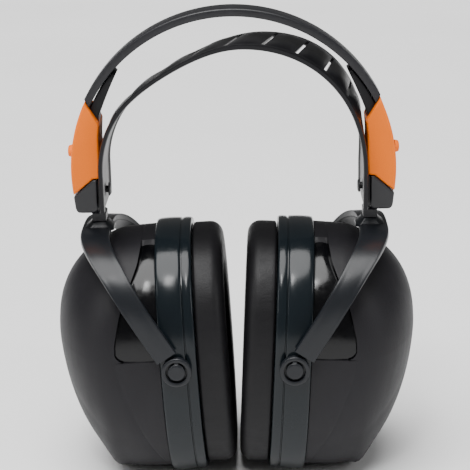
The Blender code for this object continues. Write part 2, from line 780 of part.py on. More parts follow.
def make_cushion(name, side, parent, material):
    """Ring cushion with rounded edges and a seat for the plate in its back."""
    hole = CUSHION_HOLE_HEIGHT
    hole_width = hole * CUSHION_HOLE_RATIO
    height = CUSHION_HEIGHT
    radius = CUSHION_ROUNDING
    rings = []
    for i in range(4):
        turn = math.pi / 2 * i / 3
        shrink = 2 * radius * (1.0 - math.cos(turn))
        rings.append(
            oval(
                radius * (1.0 - math.sin(turn)),
                height - shrink,
                height * DEPTH_RATIO - shrink,
                side,
            )
        )
    for i in range(3):
        turn = math.pi / 2 * i / 2
        grow = 2 * radius * (1.0 - math.sin(turn))
        rings.append(oval(radius * (1.0 - math.cos(turn)), hole + grow, hole_width + grow, side))
    seat = CUSHION_THICKNESS - PLATE_THICKNESS - GAP
    edge = height - 2 * PLATE_EDGE
    rings.append(oval(seat, hole, hole_width, side))
    rings.append(oval(seat, edge, edge * DEPTH_RATIO, side))
    rings.append(oval(CUSHION_THICKNESS, edge, edge * DEPTH_RATIO, side))
    rings.append(plain_oval(CUSHION_THICKNESS, height, side))
    return add_cup_part(f"ear_cushion_{name}", rings, parent, material, closed=True)


def make_plate(name, side, parent, material):
    """The stiff ring that the cushion is welded to, seated in the cushion's back."""
    outer = CUSHION_HEIGHT - 2 * PLATE_EDGE - 2 * GAP
    hole = CUSHION_HOLE_HEIGHT + PLATE_MARGIN
    hole_width = CUSHION_HOLE_HEIGHT * CUSHION_HOLE_RATIO + PLATE_MARGIN
    near = CUSHION_THICKNESS - PLATE_THICKNESS
    rings = []
    for depth in (near, CUSHION_THICKNESS):
        rings.append(oval(depth, outer, outer * DEPTH_RATIO - GAP, side))
    for depth in (CUSHION_THICKNESS, near):
        rings.append(oval(depth, hole, hole_width, side))
    return add_cup_part(f"cushion_plate_{name}", rings, parent, material, closed=True)


def make_rim(name, side, parent, material):
    """The cup's rim: a narrow lip beside the cushion and a broad band that carries the pins."""
    inner = RIM_HEIGHT - 2 * RIM_WALL
    lip = RIM_LIP_HEIGHT
    sizes = (
        (RIM_START, lip, lip * DEPTH_RATIO),
        (RIM_STEP, lip, lip * DEPTH_RATIO),
        (RIM_STEP, RIM_HEIGHT, RIM_HEIGHT * DEPTH_RATIO),
        (RIM_END, RIM_HEIGHT, RIM_HEIGHT * DEPTH_RATIO),
        (RIM_END, inner, RIM_HEIGHT * DEPTH_RATIO - 2 * RIM_WALL),
        (RIM_START, inner, RIM_HEIGHT * DEPTH_RATIO - 2 * RIM_WALL),
    )
    rings = [oval(depth, height, width, side) for depth, height, width in sizes]
    item = add_cup_part(f"cup_rim_{name}", rings, parent, material, closed=True)
    inside = YOKE_HALF_DEPTH - YOKE_THICKNESS / 2
    for label, facing in (("front", -1), ("rear", 1)):
        bore = PIN_RADIUS + GAP
        profile = ((inside - PIN_REACH - GAP, bore), (inside + PIN_REACH, bore))
        hole = cylinder_rings(Vector(), (0, facing, 0), profile, PIN_HOLE_POINTS)
        combine(item, f"pin_socket_{label}_{name}", hole, "DIFFERENCE")
    return item


def dome_ring(share, inset, side):
    """Oval of the dome at a share of the way from its lip to its nose."""
    close = math.sqrt(max(0.0, 1.0 - share**2))
    depth = SHELL_SPRING + (SHELL_DEPTH - SHELL_SPRING - inset) * share
    height = (SHELL_HEIGHT - 2 * inset) * close
    width = (SHELL_HEIGHT * DEPTH_RATIO - 2 * inset) * close
    rise = SHELL_RISE * share**SHELL_RISE_POWER
    chin = SHELL_CHIN * math.exp(-(((share - SHELL_CHIN_AT) / SHELL_CHIN_REACH) ** 2))
    return oval(depth, height, width, side, rise, chin * SHELL_HEIGHT / 2)


def dome_rings(start, inset, side):
    """Rings from the lip to the nose, evenly spaced round the profile."""
    height = SHELL_HEIGHT - 2 * inset
    rings = [oval(start, height, SHELL_HEIGHT * DEPTH_RATIO - 2 * inset, side)]
    for i in range(SHELL_STEPS):
        share = math.sin(math.pi / 2 * i / (SHELL_STEPS - 0.4))
        rings.append(dome_ring(share, inset, side))
    return rings


def make_shell(name, side, parent, material):
    start = RIM_END + GAP
    outer = dome_rings(start, 0.0, side)
    inner = dome_rings(start, SHELL_WALL, side)
    rings = list(reversed(outer)) + inner
    return add_cup_part(f"cup_shell_{name}", rings, parent, material)


def make_foam(name, side, parent, material):
    """A dished foam sheet against the inside of the shell."""
    near = SHELL_WALL + GAP
    outer = dome_rings(FOAM_START, near, side)
    inner = dome_rings(FOAM_START, near + FOAM_THICKNESS, side)
    rings = list(reversed(outer)) + inner
    return add_cup_part(f"foam_liner_{name}", rings, parent, material)


def make_pin(label, facing, name, parent, material):
    """Headed pivot pin with a small key on top of its head."""
    inside = YOKE_HALF_DEPTH - YOKE_THICKNESS / 2
    seat = inside + EYE_THICKNESS - COUNTERBORE_DEPTH + GAP
    profile = (
        (inside - PIN_REACH, PIN_RADIUS),
        (seat, PIN_RADIUS),
        (seat, PIN_HEAD_RADIUS),
        (seat + PIN_HEAD_THICKNESS * 0.7, PIN_HEAD_RADIUS),
        (seat + PIN_HEAD_THICKNESS, PIN_HEAD_RADIUS * 0.85),
    )
    node = f"pivot_pin_{label}_{name}"
    rings = cylinder_rings(Vector(), (0, facing, 0), profile, PIN_POINTS)
    item = add_cup_part(node, rings, parent, material)
    ends = sorted((facing * (seat + PIN_HEAD_THICKNESS * 0.1), facing * (seat + PIN_HEAD_THICKNESS * 0.6)))
    low = (-KEY_WIDTH / 2, ends[0], 0.0)
    high = (KEY_WIDTH / 2, ends[1], PIN_HEAD_RADIUS + KEY_LENGTH)
    combine(item, f"key_{label}_{name}", box_rings(low, high), "UNION")
    return item


# ---------------------------------------------------------------- assembly


def make_empty(name, world, parent=None, tilt=0.0):
    """A joint frame; its place is given in world coordinates."""
    item = bpy.data.objects.new(name, None)
    item.parent = parent
    item.location = world - (parent.location if parent else Vector())
    item.rotation_euler = (0.0, tilt, 0.0)
    bpy.context.scene.collection.objects.link(item)
    return item


def make_side(name, side, materials):
    flex = make_empty(f"flex_{name}", Vector((side * FLEX_PIVOT.x, 0.0, FLEX_PIVOT.z)))
    make_cover(name, side, flex, materials["cover_orange"])
    make_housing(name, side, flex, materials["housing_black"])
    make_guide(name, side, flex, materials["band_black"])
    make_spring(name, side, flex, materials["spring_steel"])
    make_stud(name, side, flex, materials["housing_black"])
    slide = make_empty(f"slide_{name}", Vector((side * BLADE_X, 0.0, HOUSING_BOTTOM_Z)))
    make_stem(name, side, slide, materials["housing_black"])
    make_yoke(name, side, slide, materials["yoke_grey"])
    cup = make_empty(f"pivot_{name}", Vector((side * pivot_x(), 0.0, PIVOT_Z)), tilt=side * CUP_TILT)
    make_shell(name, side, cup, materials["shell_charcoal"])
    make_rim(name, side, cup, materials["rim_slate"])
    make_plate(name, side, cup, materials["plate_black"])
    make_cushion(name, side, cup, materials["cushion_black"])
    make_foam(name, side, cup, materials["foam_grey"])
    for label, facing in (("front", -1), ("rear", 1)):
        make_pin(label, facing, name, cup, materials["yoke_grey"])


def main():
    clear_scene()
    materials = make_materials()
    make_headband(materials["band_black"])
    make_strap(materials["strap_black"])
    for name, side in SIDES.items():
        make_side(name, side, materials)


main()
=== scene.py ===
"""Looks for the earmuff hearing protector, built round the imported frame."""

import json
import math

import bmesh
import bpy
from mathutils import Matrix, Vector


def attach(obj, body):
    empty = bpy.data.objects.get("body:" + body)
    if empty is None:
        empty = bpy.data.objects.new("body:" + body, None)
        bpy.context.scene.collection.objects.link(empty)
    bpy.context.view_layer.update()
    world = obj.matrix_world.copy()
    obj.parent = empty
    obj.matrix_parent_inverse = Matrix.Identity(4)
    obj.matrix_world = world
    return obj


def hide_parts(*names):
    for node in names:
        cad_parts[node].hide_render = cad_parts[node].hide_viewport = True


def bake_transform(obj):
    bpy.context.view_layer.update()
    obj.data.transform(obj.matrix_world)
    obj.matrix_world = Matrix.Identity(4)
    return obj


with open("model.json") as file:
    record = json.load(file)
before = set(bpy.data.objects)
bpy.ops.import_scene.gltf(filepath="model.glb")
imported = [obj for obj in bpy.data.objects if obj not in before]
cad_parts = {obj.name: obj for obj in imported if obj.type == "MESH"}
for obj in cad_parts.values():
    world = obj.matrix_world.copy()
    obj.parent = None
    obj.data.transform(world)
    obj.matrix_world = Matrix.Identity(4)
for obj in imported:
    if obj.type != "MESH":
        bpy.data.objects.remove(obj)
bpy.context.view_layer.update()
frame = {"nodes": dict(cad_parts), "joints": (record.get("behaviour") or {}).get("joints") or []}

MM = 0.001
SIDES = {"left": -1, "right": 1}

# Camera
CAMERA_DISTANCE = 0.70
CAMERA_AZIMUTH = math.radians(1.0)
CAMERA_ELEVATION = math.radians(16.0)
CAMERA_ROLL = math.radians(-1.1)
CAMERA_LENS = 121.9
CAMERA_TARGET = Vector((0.0, 0.0, 105.7 * MM))

# Band and strap
BAND_CENTRE_Z = 134.8 * MM
BAND_OUTER = 71.5 * MM
BAND_INNER = 68.1 * MM
BAND_WIDTH = 15.0 * MM
BAND_CORNER = 0.8 * MM
BAND_END_GAP = 0.006
COVER_RADIUS = 70.9 * MM
COVER_TUCK = 1.5 * MM
COVER_INNER_RADIUS = 61.6 * MM
COVER_TOP_ANGLE = math.radians(27.6)
COVER_TOP_SLANT = math.radians(0.529) / MM
STRAP_RADIUS = 57.2 * MM
STRAP_CENTRE_Z = 135.5 * MM
STRAP_WIDTH = 38.0 * MM
STRAP_LEAN = 9.0 * MM
STRAP_TWIST = 4.3 * MM
STRAP_SAG = 4.5 * MM
STRAP_SHOULDERS = (0.5 * MM, 2.4 * MM)
STRAP_RIM = 4.4 * MM
STRAP_WEB = 1.5 * MM
STRAP_BEAD = 0.6 * MM
STRAP_EDGE = 1.2 * MM
STRAP_EDGE_INSET = 0.35 * MM
RIM_RAMP = 0.8 * MM
PANEL_PROUD = 1.0 * MM
SLOT_SPACING = math.radians(15.0)
SLOT_COUNT = 10
SLOT_WIDTH = 1.4 * MM
TAIL_LENGTH = 14.0 * MM

# Ear cup, in millimetres along and across its own tilted axis. Depth grows outwards.
TILT = math.radians(2.9)
PIVOT = Vector(next(j for j in frame["joints"] if j["name"] == "cup_pivot_right")["pos_m"])
PIVOT_DEPTH = 22.0
PIVOT_RISE = 3.9
OVAL_POWER = 2.3
DEPTH_RATIO = 0.78
SHELL_HEIGHT = 109.0
SHELL_START = 29.3
DOME_START = 39.0
DOME_END = 75.3
DOME_RISE = 11.0
SHELL_WALL = 3.0
RIM_HEIGHT = 113.4
CUSHION_HEIGHT = 107.8
CUSHION_FACE = 0.5
CUSHION_TOP = 13.2
CUSHION_ROUND = 5.6
HOLE_HEIGHT = 67.4
HOLE_RATIO = 0.70
SWELL_PRESSURE = 4.0
SWELL_FRAMES = 20
SWELL_CAP = 0.7 * MM


# ---------------------------------------------------------------- materials


class Nodes:
    """A small helper for building one material's node tree."""

    def __init__(self, name):
        self.material = bpy.data.materials.new(name)
        self.material.use_nodes = True
        self.tree = self.material.node_tree
        self.shader = self.tree.nodes["Principled BSDF"]
        coords = self.tree.nodes.new("ShaderNodeTexCoord")
        self.place = coords.outputs["Object"]

    def link(self, a, b):
        self.tree.links.new(a, b)

    def noise(self, scale, detail=3.0, rough=0.55, stretch=None):
        node = self.tree.nodes.new("ShaderNodeTexNoise")
        node.inputs["Scale"].default_value = scale
        node.inputs["Detail"].default_value = detail
        node.inputs["Roughness"].default_value = rough
        source = self.place
        if stretch:
            mapping = self.tree.nodes.new("ShaderNodeMapping")
            mapping.inputs["Scale"].default_value = stretch
            self.link(self.place, mapping.inputs["Vector"])
            source = mapping.outputs["Vector"]
        self.link(source, node.inputs["Vector"])
        return node.outputs["Fac"]

    def voronoi(self, scale):
        node = self.tree.nodes.new("ShaderNodeTexVoronoi")
        node.inputs["Scale"].default_value = scale
        self.link(self.place, node.inputs["Vector"])
        return node.outputs["Distance"]

    def span(self, value, low, high, start=0.3, stop=0.7):
        node = self.tree.nodes.new("ShaderNodeMapRange")
        node.inputs["From Min"].default_value = start
        node.inputs["From Max"].default_value = stop
        node.inputs["To Min"].default_value = low
        node.inputs["To Max"].default_value = high
        self.link(value, node.inputs["Value"])
        return node.outputs["Result"]

    def ramp(self, value, stops):
        node = self.tree.nodes.new("ShaderNodeValToRGB")
        ramp = node.color_ramp
        while len(ramp.elements) < len(stops):
            ramp.elements.new(0.5)
        for element, (at, colour) in zip(ramp.elements, stops):
            element.position = at
            element.color = (*colour, 1.0)
        self.link(value, node.inputs["Fac"])
        return node.outputs["Color"]

    def mix(self, fac, a, b):
        node = self.tree.nodes.new("ShaderNodeMix")
        node.data_type = "RGBA"
        for value, name in ((fac, 0), (a, 6), (b, 7)):
            if hasattr(value, "links"):
                self.link(value, node.inputs[name])
            else:
                node.inputs[name].default_value = value if name == 0 else (*value, 1.0)
        return node.outputs[2]

    def maths(self, operation, a, b):
        node = self.tree.nodes.new("ShaderNodeMath")
        node.operation = operation
        for value, index in ((a, 0), (b, 1)):
            if hasattr(value, "links"):
                self.link(value, node.inputs[index])
            else:
                node.inputs[index].default_value = value
        return node.outputs[0]

    def edges(self, start, stop):
        """1 along convex edges, 0 elsewhere."""
        geometry = self.tree.nodes.new("ShaderNodeNewGeometry")
        return self.span(geometry.outputs["Pointiness"], 0.0, 1.0, start, stop)

    def bump(self, height, distance, strength=1.0, under=None):
        node = self.tree.nodes.new("ShaderNodeBump")
        node.inputs["Distance"].default_value = distance
        node.inputs["Strength"].default_value = strength
        self.link(height, node.inputs["Height"])
        if under is not None:
            self.link(under, node.inputs["Normal"])
        return node.outputs["Normal"]

    def finish(self, colour, rough, normal=None, **plain):
        self.link(colour, self.shader.inputs["Base Color"])
        self.link(rough, self.shader.inputs["Roughness"])
        if normal is not None:
            self.link(normal, self.shader.inputs["Normal"])
        for name, value in plain.items():
            self.shader.inputs[name.replace("_", " ")].default_value = value
        return self.material


def shade(colour, factor):
    return tuple(min(1.0, c * factor) for c in colour)


def moulded(
    name,
    colour,
    rough,
    grain_scale=1900.0,
    grain=0.00002,
    flow=0.00012,
    drift=0.18,
    wear=0.25,
    edge=1.6,
    **plain,
):
    """Moulded plastic: fine spark grain, slow colour drift, faint handling marks, paler edges.

    grain and flow are bump heights in metres, drift is the share that the colour wanders, and
    wear says how far convex edges turn to edge times the colour.
    """
    n = Nodes(name)
    slow = n.noise(38.0, 4.0)
    fine = n.noise(grain_scale, 2.0, 0.6)
    marks = n.noise(260.0, 5.0, 0.7, stretch=(1.0, 1.0, 0.18))
    base = n.ramp(slow, ((0.25, shade(colour, 1.0 - drift)), (0.75, shade(colour, 1.0 + drift))))
    speckle = n.mix(n.span(fine, 0.0, 0.22), base, shade(colour, 1.5))
    worn = n.mix(n.maths("MULTIPLY", n.edges(0.52, 0.62), wear), speckle, shade(colour, edge))
    gloss = n.maths("ADD", n.span(marks, -0.03, 0.035), n.span(fine, rough - 0.02, rough + 0.03))
    pits = n.bump(fine, grain, 1.0)
    waves = n.bump(slow, flow, 0.25, under=pits)
    return n.finish(worn, gloss, waves, **plain)


def glossy_recess(name):
    n = Nodes(name)
    slow = n.noise(45.0, 3.0)
    haze = n.noise(420.0, 5.0, 0.65)
    colour = n.ramp(slow, ((0.3, (0.0016, 0.0016, 0.002)), (0.7, (0.003, 0.003, 0.0038))))
    wave = n.bump(n.noise(60.0, 1.0), 0.0004, 0.35)
    return n.finish(colour, n.span(haze, 0.10, 0.20), wave, Specular_IOR_Level=0.30)


def soft_vinyl(name):
    """Thin smooth vinyl over foam: leather-like pores, soft creases, a little sheen."""
    n = Nodes(name)
    slow = n.noise(30.0, 4.0)
    pores = n.voronoi(1500.0)
    crease = n.noise(120.0, 6.0, 0.6, stretch=(1.0, 1.0, 2.2))
    colour = n.ramp(slow, ((0.25, (0.0036, 0.0034, 0.0041)), (0.75, (0.0052, 0.0049, 0.0059))))
    rough = n.maths("ADD", n.span(crease, -0.05, 0.05), n.span(pores, 0.40, 0.50, 0.0, 0.6))
    grain = n.bump(pores, 0.00003, 0.8)
    folds = n.bump(crease, 0.0005, 0.30, under=grain)
    return n.finish(colour, rough, folds, Specular_IOR_Level=0.22)


def foam(name):
    n = Nodes(name)
    cells = n.voronoi(1100.0)
    colour = n.ramp(cells, ((0.0, (0.025, 0.025, 0.028)), (0.6, (0.085, 0.085, 0.09))))
    return n.finish(colour, n.span(cells, 0.85, 0.98, 0.0, 0.6), n.bump(cells, 0.0004, 0.9))


def steel(name):
    n = Nodes(name)
    brush = n.noise(600.0, 3.0, stretch=(1.0, 1.0, 0.05))
    colour = n.ramp(brush, ((0.3, (0.48, 0.49, 0.51)), (0.7, (0.62, 0.63, 0.65))))
    return n.finish(colour, n.span(brush, 0.24, 0.38), n.bump(brush, 0.00001), Metallic=1.0)


BAND = moulded(
    "band_plastic",
    (0.008, 0.008, 0.010),
    0.36,
    grain=0.00004,
    wear=0.4,
    edge=3.0,
    Specular_IOR_Level=0.4,
)
STRAP = moulded(
    "strap_plastic",
    (0.006, 0.006, 0.007),
    0.34,
    grain=0.000004,
    flow=0.00003,
    wear=0.2,
    edge=2.4,
    Specular_IOR_Level=0.2,
)
ORANGE = moulded(
    "cover_plastic",
    (0.80, 0.150, 0.0),
    0.55,
    drift=0.05,
    wear=0.3,
    edge=1.2,
    Specular_IOR_Level=0.2,
)
# Painted shade: a darker copy of the cover's orange for the sleeve lip, the same plastic where shade
# falls.
SHADED_SLEEVE_ORANGE = moulded("sleeve_orange_painted_shade", (0.15, 0.018, 0.0), 0.45, drift=0.08, wear=0.3, edge=1.3)
HOUSING = moulded("housing_plastic", (0.004, 0.004, 0.0055), 0.40, wear=0.4, edge=2.4)
YOKE = moulded(
    "yoke_plastic",
    (0.007, 0.008, 0.010),
    0.33,
    grain=0.000008,
    wear=0.2,
    edge=2.4,
    Specular_IOR_Level=0.30,
)
SHELL = moulded(
    "shell_plastic",
    (0.0058, 0.0053, 0.0070),
    0.52,
    grain_scale=1500.0,
    grain=0.00005,
    edge=1.8,
    Specular_IOR_Level=0.26,
)
RIM = moulded(
    "rim_plastic",
    (0.0055, 0.0080, 0.0100),
    0.17,
    grain=0.000006,
    drift=0.10,
    wear=0.12,
    edge=2.0,
    Specular_IOR_Level=0.26,
)
RECESS = glossy_recess("recess_plastic")
VINYL = soft_vinyl("cushion_vinyl")
PLATE = moulded("plate_plastic", (0.008, 0.008, 0.009), 0.5)
FOAM = foam("liner_foam")
STEEL = steel("spring_steel")


# ---------------------------------------------------------------- mesh helpers


BEVEL_ANGLE = math.radians(35.0)


def around(count):
    """Even turns round a circle."""
    return [2 * math.pi * i / count for i in range(count)]


def mesh_object(name, bm, *materials, smooth=35.0):
    """An object from a bmesh; edges bent by more than smooth degrees stay sharp."""
    bmesh.ops.recalc_face_normals(bm, faces=bm.faces)
    mesh = bpy.data.meshes.new(name)
    bm.to_mesh(mesh)
    bm.free()
    mesh.shade_smooth()
    mesh.set_sharp_from_angle(angle=math.radians(smooth))
    for material in materials:
        mesh.materials.append(material)
    item = bpy.data.objects.new(name, mesh)
    bpy.context.scene.collection.objects.link(item)
    return item


def add_loft(bm, rings, closed=False):
    """Skin through rings of equal count, capped at both ends unless it closes on itself."""
    loops = [[bm.verts.new(p) for p in ring] for ring in rings]
    count = len(rings[0])
    pairs = list(zip(loops, loops[1:]))
    if closed:
        pairs.append((loops[-1], loops[0]))
    else:
        bm.faces.new(loops[0])
        bm.faces.new(loops[-1])
    for low, high in pairs:
        for i in range(count):
            j = (i + 1) % count
            bm.faces.new((low[i], low[j], high[j], high[i]))


def loft_object(name, rings, material, closed=False, smooth=35.0):
    bm = bmesh.new()
    add_loft(bm, rings, closed)
    return mesh_object(name, bm, material, smooth=smooth)


def bevelled(item, width, segments=3):
    modifier = item.modifiers.new("edge_rounding", "BEVEL")
    modifier.width = width
    modifier.segments = segments
    modifier.limit_method = "ANGLE"
    modifier.angle_limit = BEVEL_ANGLE
    return item


def applied(item):
    """Bakes the object's modifiers into its mesh."""
    bpy.context.view_layer.update()
    graph = bpy.context.evaluated_depsgraph_get()
    mesh = bpy.data.meshes.new_from_object(item.evaluated_get(graph))
    item.modifiers.clear()
    item.data = mesh
    return item


def settle(item, body, slot, *nodes):
    """Fixes a piece to its body, in place of the nodes it redraws."""
    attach(item, body)
    if nodes:
        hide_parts(*nodes)
    return item


def polar(radius, angle, side=1, y=0.0, centre_z=BAND_CENTRE_Z):
    """A place on an arch: angle runs up from the level of its centre, on the given side."""
    return Vector((side * radius * math.cos(angle), y, centre_z + radius * math.sin(angle)))


def turned(bm, centre, axis, profile, points=40):
    """A solid of revolution; profile lists (distance along the axis, radius)."""
    axis = Vector(axis).normalized()
    across = axis.orthogonal().normalized()
    third = axis.cross(across)
    rings = []
    for along, radius in profile:
        rings.append(
            [
                centre + axis * along + (across * math.cos(t) + third * math.sin(t)) * radius
                for t in around(points)
            ]
        )
    add_loft(bm, rings)


# ---------------------------------------------------------------- headband and strap


def rounded_rectangle(low, high, half, corner, steps=4):
    """Section points (radius, y) of a bar with rounded outer corners and eased inner ones."""
    eased = corner * 0.4
    points = []
    for cx, cy, begin, round_by in (
        (high - corner, half - corner, 0.0, corner),
        (low + eased, half - eased, 90.0, eased),
        (low + eased, -half + eased, 180.0, eased),
        (high - corner, -half + corner, 270.0, corner),
    ):
        for i in range(steps + 1):
            t = math.radians(begin + 90.0 * i / steps)
            points.append((cx + round_by * math.cos(t), cy + round_by * math.sin(t)))
    return points


def cover_end_angle(radius):
    """Where the cover's slanted top end crosses a radius of the band."""
    return COVER_TOP_ANGLE - (COVER_RADIUS - radius) * COVER_TOP_SLANT


def make_headband():
    """Two halves that meet at the crown."""
    section = rounded_rectangle(BAND_INNER, BAND_OUTER, BAND_WIDTH / 2, BAND_CORNER)
    steps = 64
    for name, side in SIDES.items():
        rings = []
        for i in range(steps + 1):
            share = i / steps
            ring = []
            for radius, y in section:
                low = cover_end_angle(radius) + BAND_END_GAP
                ring.append(polar(radius, low + (math.pi / 2 - low) * share, side, y))
            rings.append(ring)
        item = loft_object(f"band_{name}", rings, BAND)
        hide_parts("headband")
        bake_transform(item)


def strap_point(angle, along_tail, y, inward):
    """A point of the strap's sheet, at a depth below its outer surface."""
    point = polar(STRAP_RADIUS - inward, angle, 1, y, STRAP_CENTRE_Z)
    point.z -= along_tail
    height = max(0.0, (point.z - STRAP_CENTRE_Z) / STRAP_RADIUS)
    twist = STRAP_TWIST * 2 * y / STRAP_WIDTH
    shoulder = STRAP_SHOULDERS[angle > math.pi / 2]
    point.x += (STRAP_LEAN + twist) * height**1.5 + shoulder * math.sin(2 * angle)
    behind = max(0.0, -math.sin(2 * angle)) * math.sin(angle)
    point.z -= STRAP_SAG * behind**2
    return point


def strap_rows(side):
    """(angle, distance down the tail, share of the panel or None in a slot) for one half."""
    first = math.pi / 2 - SLOT_SPACING * (SLOT_COUNT - 1) / 2
    slot = SLOT_WIDTH / 2 / STRAP_RADIUS
    rows = [(0.0, TAIL_LENGTH * (10 - i) / 10, 0.0) for i in range(10)]
    rows += [((first - slot) * i / 10, 0.0, 0.0) for i in range(10)]
    for k in range(SLOT_COUNT):
        middle = first + k * SLOT_SPACING
        rows += [(middle - slot, 0.0, 0.0), (middle - slot * 0.5, 0.0, None), (middle, 0.0, None)]
        rows += [(middle + slot * 0.5, 0.0, None), (middle + slot, 0.0, 0.0)]
        run = SLOT_SPACING - 2 * slot
        rows += [(middle + slot + run * i / 10, 0.0, i / 10) for i in range(1, 10)]
    rows = [row for row in rows if row[0] <= math.pi / 2 + 1e-6]
    if side > 0:
        return rows
    return [(math.pi - a, t, p if p is None else 1.0 - p if p else p) for a, t, p in rows]


def make_strap():
    """Crowned panels between slots, inside a thicker rim with eased edges."""
    half = STRAP_WIDTH / 2
    inner = half - STRAP_RIM
    outer = [inner, inner + RIM_RAMP, half - STRAP_EDGE, half - 0.5 * MM, half]
    across = [-y for y in reversed(outer)]
    across += [inner * k / 10 for k in range(-9, 10)]
    across += outer
    for name, side in SIDES.items():
        rows = strap_rows(side)
        bm = bmesh.new()
        top = []
        under = []
        for angle, along_tail, panel in rows:
            line_top = []
            line_under = []
            for y in across:
                rim = min(1.0, max(0.0, (abs(y) - inner) / RIM_RAMP))
                edge = max(0.0, (abs(y) - (half - STRAP_EDGE)) / STRAP_EDGE)
                proud = 0.0
                if panel and rim == 0.0:
                    crown = math.sin(math.pi * panel) ** 0.8
                    proud = PANEL_PROUD * crown * (1.0 - 0.8 * abs(y / inner) ** 4)
                inset = STRAP_EDGE_INSET * edge**2
                thick = STRAP_WEB + STRAP_BEAD * rim
                line_top.append(bm.verts.new(strap_point(angle, along_tail, y, inset - proud)))
                line_under.append(bm.verts.new(strap_point(angle, along_tail, y, thick - proud - inset)))
            top.append(line_top)
            under.append(line_under)
        for i in range(len(rows) - 1):
            for k in range(len(across) - 1):
                in_slot = rows[i][2] is None or rows[i + 1][2] is None
                middle = (across[k] + across[k + 1]) / 2
                if in_slot and abs(middle) < inner:
                    continue
                bm.faces.new((top[i][k], top[i][k + 1], top[i + 1][k + 1], top[i + 1][k]))
                bm.faces.new((under[i][k], under[i + 1][k], under[i + 1][k + 1], under[i][k + 1]))
        partner = {a: b for la, lb in zip(top, under) for a, b in zip(la, lb)}
        for edge in [e for e in bm.edges if len(e.link_faces) == 1 and e.verts[0] in partner]:
            a, b = edge.verts
            bm.faces.new((a, b, partner[b], partner[a]))
        loose = [v for v in bm.verts if not v.link_faces]
        bmesh.ops.delete(bm, geom=loose, context="VERTS")
        item = mesh_object(f"strap_{name}", bm, STRAP, smooth=38.0)
        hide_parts("comfort_strap")
        crown, tail = (side * 0.004, 0, 0.19), (side * 0.055, 0, 0.150)
        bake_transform(item)


# ---------------------------------------------------------------- end fittings


FITTING_WIDTH = 21.0 * MM
COVER_LOW_Z = 127.2 * MM
GRIP_Z = 144.8 * MM
GRIP_SINK = 1.2 * MM
GRIP_HALF_Y = 3.5 * MM
GRIP_HALF_Z = 2.5 * MM
COVER_CORNER_SHIFT = Vector((0.5 * MM, 0.0, 0.2 * MM))
LIP_WIDTH = 11.0 * MM
CORE_WIDTH = 16.0 * MM
GUIDE_GAP = 0.3 * MM
GUIDE_INNER = 63.0 * MM
GUIDE_THINNING = 3.4 * MM
GUIDE_HALF = 6.5 * MM
GUIDE_CORNER = 0.6 * MM
GUIDE_END_GAP = 0.004
GUIDE_ROUND_END = 0.14
GUIDE_TOP_ANGLE = math.radians(42.5)

# Side outlines, in millimetres outwards from the middle and upwards from the floor
COVER_INSIDE = ((60.6, 134.3), (57.7, 134.6), (57.5, 140.0), (57.4, 152.0), (57.0, 157.8))
SLEEVE_LIP = ((57.9, 148.0), (57.2, 160.5), (57.9, 163.0), (59.6, 161.8), (61.0, 158.0), (61.0, 148.0))
HOUSING_FOOT = ((68.4, 121.6), (68.0, 120.2), (67.0, 119.5), (65.6, 119.4))
CORE_INSIDE = ((58.8, 119.4), (57.9, 119.8), (57.5, 121.0), (57.5, 134.0))
CHEEKS_INSIDE = ((60.4, 119.4), (58.9, 120.2), (58.6, 121.4), (58.6, 134.0))

# Height in millimetres and share of the full oval, up the grip bump
GRIP_PROFILE = ((0.0, 1.08), (0.6, 1.05), (0.9, 1.0), (1.4, 0.95), (1.7, 0.84), (1.85, 0.6), (1.9, 0.2))


def outline_of(points):
    return [Vector((x * MM, 0.0, z * MM)) for x, z in points]


def extruded(name, outline, depth, side, material):
    """A plate of a side outline, centred front to back."""
    rings = [[Vector((side * p.x, y, p.z)) for p in outline] for y in (-depth / 2, depth / 2)]
    return loft_object(name, rings, material)


def make_cover(name, side):
    """The orange sector, the lip of the sleeve inside it and the oval grip bump."""
    low_angle = math.asin((COVER_LOW_Z - BAND_CENTRE_Z) / COVER_RADIUS)
    steps = 20
    outline = []
    for i in range(steps + 1):
        angle = COVER_TOP_ANGLE + (low_angle - COVER_TOP_ANGLE) * i / steps
        outline.append(polar(COVER_RADIUS - COVER_TUCK * i / steps, angle))
    outline += outline_of(COVER_INSIDE)
    corner = polar(COVER_INNER_RADIUS, cover_end_angle(COVER_INNER_RADIUS))
    outline.append(corner + COVER_CORNER_SHIFT)
    cover = bevelled(extruded(f"cover_{name}", outline, FITTING_WIDTH, side, ORANGE), 0.75 * MM, 4)
    settle(cover, f"side_{name}", "cover_orange", f"slider_cover_{name}")
    # The sleeve lip takes the darker orange of painted shade.
    lip = extruded(f"sleeve_lip_{name}", outline_of(SLEEVE_LIP), LIP_WIDTH, side, SHADED_SLEEVE_ORANGE)
    settle(bevelled(lip, 0.4 * MM), f"side_{name}", "cover_orange")
    base = Vector((side * (COVER_RADIUS - GRIP_SINK), 0.0, GRIP_Z))
    rings = []
    for up, share in GRIP_PROFILE:
        ring = []
        for turn in around(32):
            y = GRIP_HALF_Y * share * math.cos(turn)
            z = GRIP_HALF_Z * share * math.sin(turn)
            ring.append(base + Vector((side * up * MM, y, z)))
        rings.append(ring)
    settle(loft_object(f"grip_{name}", rings, ORANGE, smooth=60.0), f"side_{name}", "cover_orange")


def make_housing(name, side):
    """A narrow core and the full-width cheeks over it, which stand back from its inner face."""
    for piece, shoulder, inside, width, rounding, segments, nodes in (
        (f"housing_{name}", 68.9, CORE_INSIDE, CORE_WIDTH, 0.5 * MM, 3, (f"end_housing_{name}",)),
        (f"housing_cheeks_{name}", 69.0, CHEEKS_INSIDE, FITTING_WIDTH, 0.7 * MM, 4, ()),
    ):
        outline = outline_of(((60.6, 134.0), (shoulder, 126.6), *HOUSING_FOOT, *inside))
        item = bevelled(extruded(piece, outline, width, side, HOUSING), rounding, segments)
        settle(item, f"side_{name}", "housing_black", *nodes)


